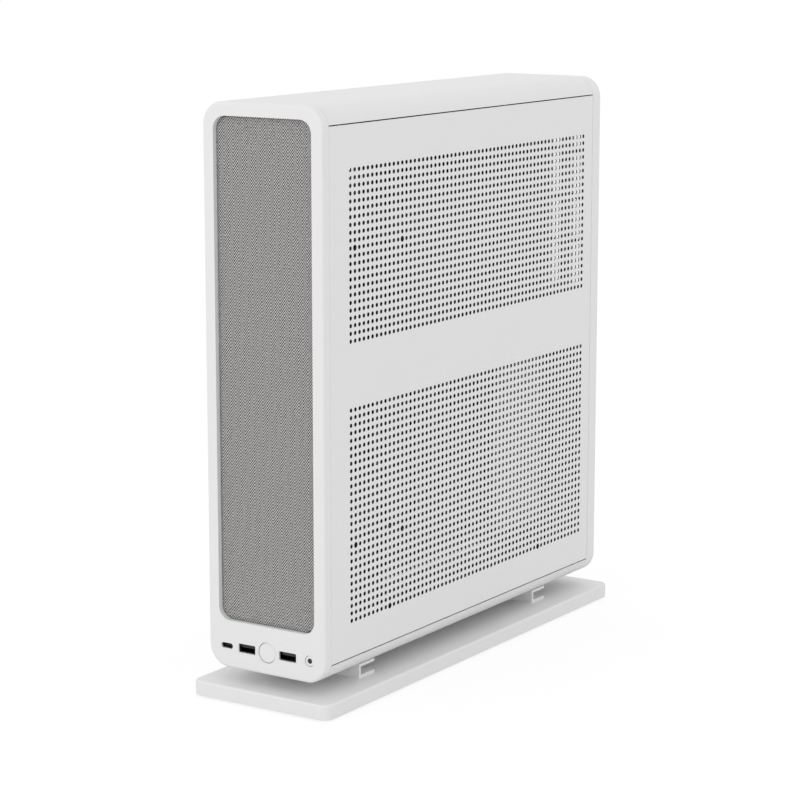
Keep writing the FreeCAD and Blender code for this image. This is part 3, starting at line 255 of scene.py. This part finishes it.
def addPiece(name, points, faces, slot, body, crease=35.0, finish=None):  # a surface becomes a piece
    mesh = bpy.data.meshes.new(name)
    mesh.from_pydata(np.asarray(points).reshape(-1, 3).tolist(), [], [list(map(int, face)) for face in faces])
    mesh.validate()
    mesh.materials.append(finish or finishes[slot])
    mesh.shade_smooth()
    mesh.set_sharp_from_angle(angle=math.radians(crease))
    piece = bpy.data.objects.new(name, mesh)
    bpy.context.scene.collection.objects.link(piece)
    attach(piece, body)
    return piece


panelHoles = {
    "pitch": 0.005,
    "columns": 61,
    "rows": 60,
    "blankRows": (23, 31),       # the plain band between the two fields
    "firstColumn": 0.023,        # from the panel's front edge
    "firstRow": 0.0288,          # from its top edge
    "radius": 0.00145,
    "wideRadius": 0.002,
    "wideAt": [(1, 10), (12, 10), (1, 49), (9, 48), (12, 49), (9, 59), (48, 59)],
    "sides": 12,
    "edge": 0.00025,             # small break round the sheet's outer edge
}


def punchedPanel(name, nodeName, body, outwards):
    # A rectangular grid of cells, where each punched cell is a square with a twelve-sided ring cut out of it.
    # Both skins share the layout, and a wall joins them round every hole and round the rim.
    low, high = (np.array(corner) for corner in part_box(nodeName))
    pitch, sides = panelHoles["pitch"], panelHoles["sides"]
    columns, rows = panelHoles["columns"], panelHoles["rows"]
    faceX, backX = (high[0], low[0]) if outwards > 0 else (low[0], high[0])
    holeY = low[1] + panelHoles["firstColumn"] + pitch * np.arange(columns)
    holeZ = high[2] - panelHoles["firstRow"] - pitch * np.arange(rows)
    edge = panelHoles["edge"]

    def lines(first, last, holes):  # cell boundaries, with the rim's two lines at each end
        step = holes[1] - holes[0]
        between = np.append(holes - step / 2, holes[-1] + step / 2)
        return np.concatenate([[first], between, [last]])

    rimY, rimZ = (low[1], high[1]), (high[2], low[2])
    faceY = lines(rimY[0] + edge, rimY[1] - edge, holeY)
    faceZ = lines(rimZ[0] - edge, rimZ[1] + edge, holeZ)
    gridZ, gridY = np.meshgrid(faceZ, faceY, indexing="ij")
    corners = np.stack([np.zeros_like(gridY), gridY, gridZ], -1).reshape(-1, 3)
    wide = len(faceY)
    cells = gridFaces(len(faceZ), wide)
    cellRow, cellColumn = np.divmod(np.arange(len(cells)), wide - 1)
    blank = (cellRow - 1 >= panelHoles["blankRows"][0]) & (cellRow - 1 < panelHoles["blankRows"][1])
    punched = (cellColumn >= 1) & (cellColumn <= columns) & (cellRow >= 1) & (cellRow <= rows) & ~blank
    plain = cells[~punched]
    square = cells[punched]
    middle = corners[square].mean(1)
    radius = np.full(len(square), panelHoles["radius"])
    key = list(zip(cellColumn[punched] - 1, cellRow[punched] - 1))
    radius[[key.index(place) for place in panelHoles["wideAt"]]] = panelHoles["wideRadius"]
    # ring points start at the first corner's side and go round with the cell's corners: up-left, up-right, ...
    turn = 2 * math.pi * np.arange(sides) / sides
    offset = np.stack([np.zeros(sides), -np.cos(turn), np.sin(turn)], -1)
    ring = middle[:, None, :] + radius[:, None, None] * offset[None]
    ringIndex = len(corners) + np.arange(len(square) * sides).reshape(-1, sides)
    quarter = sides // 4
    triangles = []
    for side in range(4):  # corner k lies between ring points k * quarter and (k + 1) * quarter
        corner = square[:, side]
        for step in range(quarter):
            one = ringIndex[:, side * quarter + step]
            two = ringIndex[:, (side * quarter + step + 1) % sides]
            triangles.append(np.stack([corner, two, one], -1))
        following = square[:, (side + 1) % 4]
        shared = ringIndex[:, (side + 1) * quarter % sides]
        triangles.append(np.stack([corner, following, shared], -1))
    skin = np.concatenate([corners, ring.reshape(-1, 3)])
    half = len(skin)
    front, back = skin.copy(), skin.copy()
    front[:, 0], back[:, 0] = faceX, backX
    # the back skin runs to the full outline, and two rim lines close the edge
    outline = np.concatenate([np.arange(wide), np.arange(2, len(faceZ) + 1) * wide - 1,
                              np.arange(len(corners) - 2, len(corners) - wide - 1, -1),
                              np.arange(len(faceZ) - 2, 0, -1) * wide])
    rim = front[outline].copy()
    rim[:, 0] -= outwards * edge
    centre = (low + high) / 2
    rim[:, 1:] += edge * np.sign(rim[:, 1:] - centre[1:]) * (np.abs(rim[:, 1:] - centre[1:])
                                                          > (high - low)[1:] / 2 - 1.5 * edge)
    points = np.concatenate([front, back, rim])
    back[outline, 1:] = rim[:, 1:]
    points[half:2 * half] = back
    rimIndex = 2 * half + np.arange(len(outline))
    nextOne = np.roll(np.arange(len(outline)), -1)
    triangle = np.concatenate(triangles)
    wall = [np.stack([ringIndex, np.roll(ringIndex, -1, 1), np.roll(ringIndex, -1, 1) + half,
                      ringIndex + half], -1).reshape(-1, 4),
            np.stack([outline[nextOne], outline, rimIndex, rimIndex[nextOne]], -1),
            np.stack([rimIndex[nextOne], rimIndex, outline + half, outline[nextOne] + half], -1)]
    quads = np.concatenate([plain, plain[:, ::-1] + half, *wall])
    threes = np.concatenate([triangle, triangle[:, ::-1] + half])
    if outwards < 0:
        quads, threes = quads[:, ::-1], threes[:, ::-1]
    piece = addPiece(name, points, quads.tolist() + threes.tolist(), "white_shell", body)
    # the hole walls take the dark grey finish, painted shade inside every hole
    piece.data.materials.append(finishes["paintedHoleShade"])
    wallShade = np.zeros(len(piece.data.polygons), np.int32)
    firstWall = 2 * len(plain)
    wallShade[firstWall:firstWall + ringIndex.size] = 1
    piece.data.polygons.foreach_set("material_index", wallShade)
    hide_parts(nodeName)


punchedPanel("punched_panel_right", "right_panel", "right_side", 1)
punchedPanel("punched_panel_left", "left_panel", "left_side", -1)
print("side panels punched")


screen = {
    "corner": 0.0087,
    "crown": 0.0004,             # how far the cloth swells between its glued edges
    "rows": 120,
    "columns": 40,
    "thickness": 0.0005,
}


def roundedSheet(low, high, corner, rows, columns, crown):
    # Rows run from the bottom to the top; near each end the row narrows along the corner's quarter circle.
    # The swell is the product of two flattened cosines.
    height = np.linspace(-1, 1, rows)
    height = np.sin(height * math.pi / 2) * 0.25 + height * 0.75
    z = (low[2] + high[2]) / 2 + height * (high[2] - low[2]) / 2
    fromEnd = np.minimum(z - low[2], high[2] - z)
    inset = np.where(fromEnd < corner, corner - np.sqrt(np.maximum(corner ** 2 - (corner - fromEnd) ** 2, 0)), 0)
    half = (high[0] - low[0]) / 2 - inset
    across = np.linspace(-1, 1, columns)
    x = (low[0] + high[0]) / 2 + half[:, None] * across[None]
    swell = (1 - height[:, None] ** 8) * (1 - across[None] ** 6)
    y = low[1] + (high[1] - low[1]) * 0.5 - crown * swell
    return np.stack([x, y + 0 * x, z[:, None] + 0 * x], -1)


def fabricScreen():
    low, high = (np.array(corner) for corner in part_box("fabric_screen"))
    surface = roundedSheet(low, high, screen["corner"], screen["rows"], screen["columns"], screen["crown"])
    faces = gridFaces(screen["rows"], screen["columns"])
    piece = addPiece("woven_screen", surface, faces, "screen_fabric", "bezel", crease=60.0)
    thicken = piece.modifiers.new("thickness", "SOLIDIFY")
    thicken.thickness = screen["thickness"]
    thicken.offset = 1.0
    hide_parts("fabric_screen")


fabricScreen()
print("fabric stretched")


rotors = {
    "case_fan_rotor_front": {"body": "case_fan_front", "blades": 9, "hub": 0.0224, "lean": 0.5},
    "case_fan_rotor_rear": {"body": "case_fan_rear", "blades": 9, "hub": 0.0224, "lean": 0.5},
    "cooler_fan_rotor": {"body": "cooler_fan", "blades": 9, "hub": 0.0147, "lean": 0.4},
    "supply_fan_rotor": {"body": "supply_fan", "blades": 7, "hub": 0.0147, "lean": 0.4},
    "graphics_rotor_front": {"body": "graphics_fan_front", "blades": 11, "hub": 0.0125, "lean": 0.6},
    "graphics_rotor_rear": {"body": "graphics_fan_rear", "blades": 11, "hub": 0.0125, "lean": 0.6},
}
bladeShape = {
    "spanSteps": 10,
    "skinSteps": 16,
    "thickness": 0.0014,
    "root": 0.97,        # the blade starts inside the hub, at this share of its radius
    "space": 1.6,        # room for one blade, over an even share of the circle
    "hubArc": 0.30,      # half the blade's width at the hub, as a share of that room
    "tipArc": 0.33,
    "hubPitch": 0.40,    # half its reach along the axis at the hub, over the rotor's depth
    "tipPitch": 0.24,
    "camber": 0.08,
}
hubCup = {
    "steps": 48,
    "lip": 0.0006,
    "eye": 0.2,          # the rest are shares of the hub's radius
    "rim": 0.72,
    "well": 0.70,
    "pin": 0.1,
}


def fanBlade(middle, depth, hub, tip, arc, lean):
    # Polar form: at each radius the section is a flat oval, cos along the arc and sin through its thickness,
    # tilted along the axis, and its angle sweeps forward with the square of the span.
    span = np.linspace(0, 1, bladeShape["spanSteps"])[:, None]
    turn = np.linspace(0, 2 * math.pi, bladeShape["skinSteps"], endpoint=False)[None]
    root = hub * bladeShape["root"]
    radius = root + (tip - root) * span
    halfArc = arc * (bladeShape["hubArc"] + (bladeShape["tipArc"] - bladeShape["hubArc"]) * span)
    angle = lean * span ** 2 + halfArc * np.cos(turn)
    pitch = bladeShape["hubPitch"] + (bladeShape["tipPitch"] - bladeShape["hubPitch"]) * span
    rise = depth * pitch * np.cos(turn) + bladeShape["camber"] * depth * np.sin(turn) ** 2
    x = middle + rise + bladeShape["thickness"] / 2 * np.sin(turn)
    points = np.stack([x, radius * np.cos(angle), radius * np.sin(angle)], -1)
    rows, columns = bladeShape["spanSteps"], bladeShape["skinSteps"]
    faces = gridFaces(rows, columns, loopColumns=True).tolist()
    faces.append(list(range(columns))[::-1])
    faces.append(list(range((rows - 1) * columns, rows * columns)))
    return points.reshape(-1, 3), faces


def turned(profile, steps):  # (x, radius) points turned about the x axis, with a flat face over each end
    profile = np.array(profile)
    angle = np.linspace(0, 2 * math.pi, steps, endpoint=False)[None]
    points = np.stack([profile[:, :1] + 0 * angle, profile[:, 1:] * np.cos(angle),
                       profile[:, 1:] * np.sin(angle)], -1)
    faces = gridFaces(len(profile), steps, loopColumns=True)[:, ::-1].tolist()
    faces.append(list(range(steps)))
    faces.append(list(range((len(profile) - 1) * steps, len(profile) * steps))[::-1])
    return points.reshape(-1, 3), faces


def gathered(shapes):  # several (points, faces) shapes as one
    points, faces, count = [], [], 0
    for shapePoints, shapeFaces in shapes:
        points.append(shapePoints)
        faces += [[index + count for index in face] for face in shapeFaces]
        count += len(shapePoints)
    return np.concatenate(points), faces


def fanRotor(nodeName, values):
    low, high = (np.array(corner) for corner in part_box(nodeName))
    joint = next(joint for joint in frame["joints"] if joint["child"] == values["body"])
    centre = np.array(joint["pos_m"])
    tip = (high[2] - low[2]) / 2
    start, end = low[0], high[0]
    depth, hub, lip = end - start, values["hub"], hubCup["lip"]
    share = 2 * math.pi / values["blades"]
    points, faces = fanBlade(start + depth / 2, depth, hub, tip, share * bladeShape["space"], values["lean"])
    shapes = []
    for number in range(values["blades"]):
        cosine, sine = math.cos(share * number), math.sin(share * number)
        turn = np.array([[1, 0, 0], [0, cosine, sine], [0, -sine, cosine]])
        shapes.append((points @ turn, faces))
    cup = [(start, hub * hubCup["eye"]), (start, hub - lip), (start + lip, hub), (end - 2 * lip, hub),
           (end - lip * 0.6, hub - lip * 0.6), (end, hub - 2 * lip), (end, hub * hubCup["rim"]),
           (end - lip, hub * hubCup["well"]), (end - lip, hub * hubCup["pin"])]
    shapes.append(turned(cup, hubCup["steps"]))
    points, faces = gathered(shapes)
    points[:, 1:] += centre[1:]
    piece = addPiece(nodeName + "_bladed", points, faces, "black_plastic", values["body"])
    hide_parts(nodeName)


for nodeName, values in rotors.items():
    fanRotor(nodeName, values)
print("rotors bladed")


def bar(low, high, axis, radius, bevel=0.00015, steps=3):
    # A rounded rectangle carried along one axis, drawn in by the bevel at both ends.
    low, high = np.array(low, float), np.array(high, float)
    first, second = [(1, 2), (2, 0), (0, 1)][axis]
    quarter = np.linspace(0, math.pi / 2, steps)
    outline = []
    for number, (a, b) in enumerate([(1, 1), (-1, 1), (-1, -1), (1, -1)]):
        angle = quarter + number * math.pi / 2
        outline.append(np.stack([a + 0 * angle, b + 0 * angle, np.cos(angle), np.sin(angle)], -1))
    outline = np.concatenate(outline)
    middle, half = (low + high) / 2, (high - low) / 2
    rings = []
    stations = [(low[axis], bevel), (low[axis] + bevel, 0), (high[axis] - bevel, 0), (high[axis], bevel)]
    for along, inset in stations:
        ring = np.zeros((len(outline), 3))
        ring[:, axis] = along
        for column, spot in ((0, first), (1, second)):
            ring[:, spot] = (middle[spot] + outline[:, column] * (half[spot] - radius)
                             + outline[:, column + 2] * (radius - inset))
        rings.append(ring)
    count = len(outline)
    faces = gridFaces(4, count, loopColumns=True).tolist()
    faces.append(list(range(count))[::-1])
    faces.append(list(range(3 * count, 4 * count)))
    return np.concatenate(rings), faces


ports = {
    "usbPlaces": (-0.016, 0.017),                     # along x
    "usbcPlace": -0.0323,
    "audioPlace": 0.0345,
    "height": 0.036,
    "mouth": 0.0009,                                  # behind the bezel's face
    "tongue": (0.0118, 0.0018),                       # width and thickness
    "tongueReach": (0.0012, 0.0097),                  # every reach is from the mouth inwards
    "tongueLift": 0.0002,
    "contacts": 4,
    "contactPitch": 0.0025,
    "contactWidth": 0.001,
    "contactReach": (0.0022, 0.0085),
    "contactSkin": (-0.00005, 0.00025),               # its underside and top over the sockets' height
    "usbcTongue": (0.0066, 0.0007),
    "usbcReach": (0.001, 0.006),
    "round": 0.0003,                                  # corner radius of a tongue
    "contactRound": 0.0001,
    "contactBevel": 0.00005,
    "sleeveRadius": 0.00178,
    "sleeveLip": 0.9,                                 # share of that radius at the mouth
    "sleeveBore": 0.86,
    "sleeveReach": (-0.0002, 0.0008, 0.0116, 0.0121),  # mouth, end of the flare, floor, back
    "sleevePin": 0.0002,
    "sleeveSteps": 32,
}


def frontPorts():
    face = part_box("front_bezel")[0][1] + ports["mouth"]
    level = ports["height"]
    width, thick = ports["tongue"]
    near, far = ports["tongueReach"]
    lift = ports["tongueLift"]
    tongues, contacts = [], []
    for place in ports["usbPlaces"]:
        tongues.append(bar((place - width / 2, face + near, level + lift),
                           (place + width / 2, face + far, level + lift + thick), 1, ports["round"]))
        for number in range(ports["contacts"]):
            x = place + (number - (ports["contacts"] - 1) / 2) * ports["contactPitch"]
            half = ports["contactWidth"] / 2
            low, high = ((x + side * half, face + reach, level + skin) for side, reach, skin in
                         zip((-1, 1), ports["contactReach"], ports["contactSkin"]))
            contacts.append(bar(low, high, 1, ports["contactRound"], ports["contactBevel"]))
    width, thick = ports["usbcTongue"]
    near, far = ports["usbcReach"]
    place = ports["usbcPlace"]
    tongues.append(bar((place - width / 2, face + near, level - thick / 2),
                       (place + width / 2, face + far, level + thick / 2), 1, ports["round"]))
    addPiece("socket_tongues", *gathered(tongues), "black_plastic", "chassis")
    addPiece("socket_contacts", *gathered(contacts), "bright_steel", "chassis", finish=finishes["gold"])
    radius, pin = ports["sleeveRadius"], ports["sleevePin"]
    bore = radius * ports["sleeveBore"]
    mouth, flare, floor, back = ports["sleeveReach"]
    sleeve = [(mouth, radius), (mouth, radius * ports["sleeveLip"]), (flare, bore), (floor, bore),
              (floor, pin), (back, pin), (back, radius)]
    points, faces = turned(sleeve, ports["sleeveSteps"])
    points = np.stack([points[:, 1] + ports["audioPlace"], points[:, 0] + face, points[:, 2] + level], -1)
    addPiece("audio_sleeve", points, faces, "black_plastic", "chassis")


frontPorts()
print("sockets filled")


camera = {
    "place": (0.9603, -1.4747, 0.5113),
    "turn": 33.403,       # degrees round the upright axis
    "tilt": 10.765,       # degrees down
    "lens": 114.75,
}
studio = {
    "floorSize": 30.0,
    "floorGlow": 0.75,    # share of the floor's own white that the camera sees; the rest takes the shadow
    "ambient": 0.91,
    "floorTone": 0.8,
    "floorStrength": 1.1,
    "lampAim": (0, 0, 0.2),
    "lamps": {            # place, width, power
        "frontLamp": ((-0.9, -3.6, 1.1), 2.0, 22.0),
        "sideLamp": ((3.6, -0.1, 0.7), 2.0, 7.0),
    },
}


def placeCamera():
    lens = bpy.data.cameras.new("camera")
    lens.lens = camera["lens"]
    lens.clip_end = 50.0
    eye = bpy.data.objects.new("camera", lens)
    eye.location = camera["place"]
    eye.rotation_euler = (math.radians(90 - camera["tilt"]), 0, math.radians(camera["turn"]))
    bpy.context.scene.collection.objects.link(eye)
    bpy.context.scene.camera = eye


def seenDirectly(paint):  # 1 where the camera, a reflection or a view through glass looks, 0 for soft light
    path = paint.node("LightPath", output="Is Camera Ray")
    glossy = paint.node("LightPath", output="Is Glossy Ray")
    through = paint.node("LightPath", output="Is Transmission Ray")
    return path.math("MAXIMUM", path, glossy.math("MAXIMUM", glossy, through))


def layFloor():
    half = studio["floorSize"] / 2
    mesh = bpy.data.meshes.new("floor")
    corners = [(-half, -half, 0), (half, -half, 0), (half, half, 0), (-half, half, 0)]
    mesh.from_pydata(corners, [], [(0, 1, 2, 3)])
    floor = bpy.data.objects.new("floor", mesh)
    bpy.context.scene.collection.objects.link(floor)
    paint = Paint(bpy.data.materials.new("studioFloor"))
    soft = paint.node("BsdfDiffuse", inputs={"Color": grey(studio["floorTone"])})
    glow = paint.node("Emission", inputs={"Color": grey(1.0), "Strength": studio["floorStrength"]})
    share = seenDirectly(paint) * studio["floorGlow"]
    blend = paint.node("MixShader", inputs={0: share, 1: soft, 2: glow})
    paint.node("OutputMaterial", inputs={"Surface": blend})
    mesh.materials.append(paint.owner)


def lightStudio():
    world = bpy.data.worlds.new("studio")
    bpy.context.scene.world = world
    paint = Paint(world)
    seen = seenDirectly(paint)
    strength = seen + (1 - seen) * studio["ambient"]
    sky = paint.node("Background", inputs={"Color": grey(1.0), "Strength": strength})
    paint.node("OutputWorld", inputs={"Surface": sky})
    for name, (place, width, power) in studio["lamps"].items():
        lamp = bpy.data.lights.new(name, "AREA")
        lamp.size = width
        lamp.energy = power
        holder = bpy.data.objects.new(name, lamp)
        holder.location = place
        holder.rotation_euler = (Vector(studio["lampAim"]) - Vector(place)).to_track_quat("-Z", "Y").to_euler()
        bpy.context.scene.collection.objects.link(holder)


placeCamera()
layFloor()
lightStudio()
bpy.context.scene.view_settings.view_transform = "Standard"
print("camera, floor and lamps set")
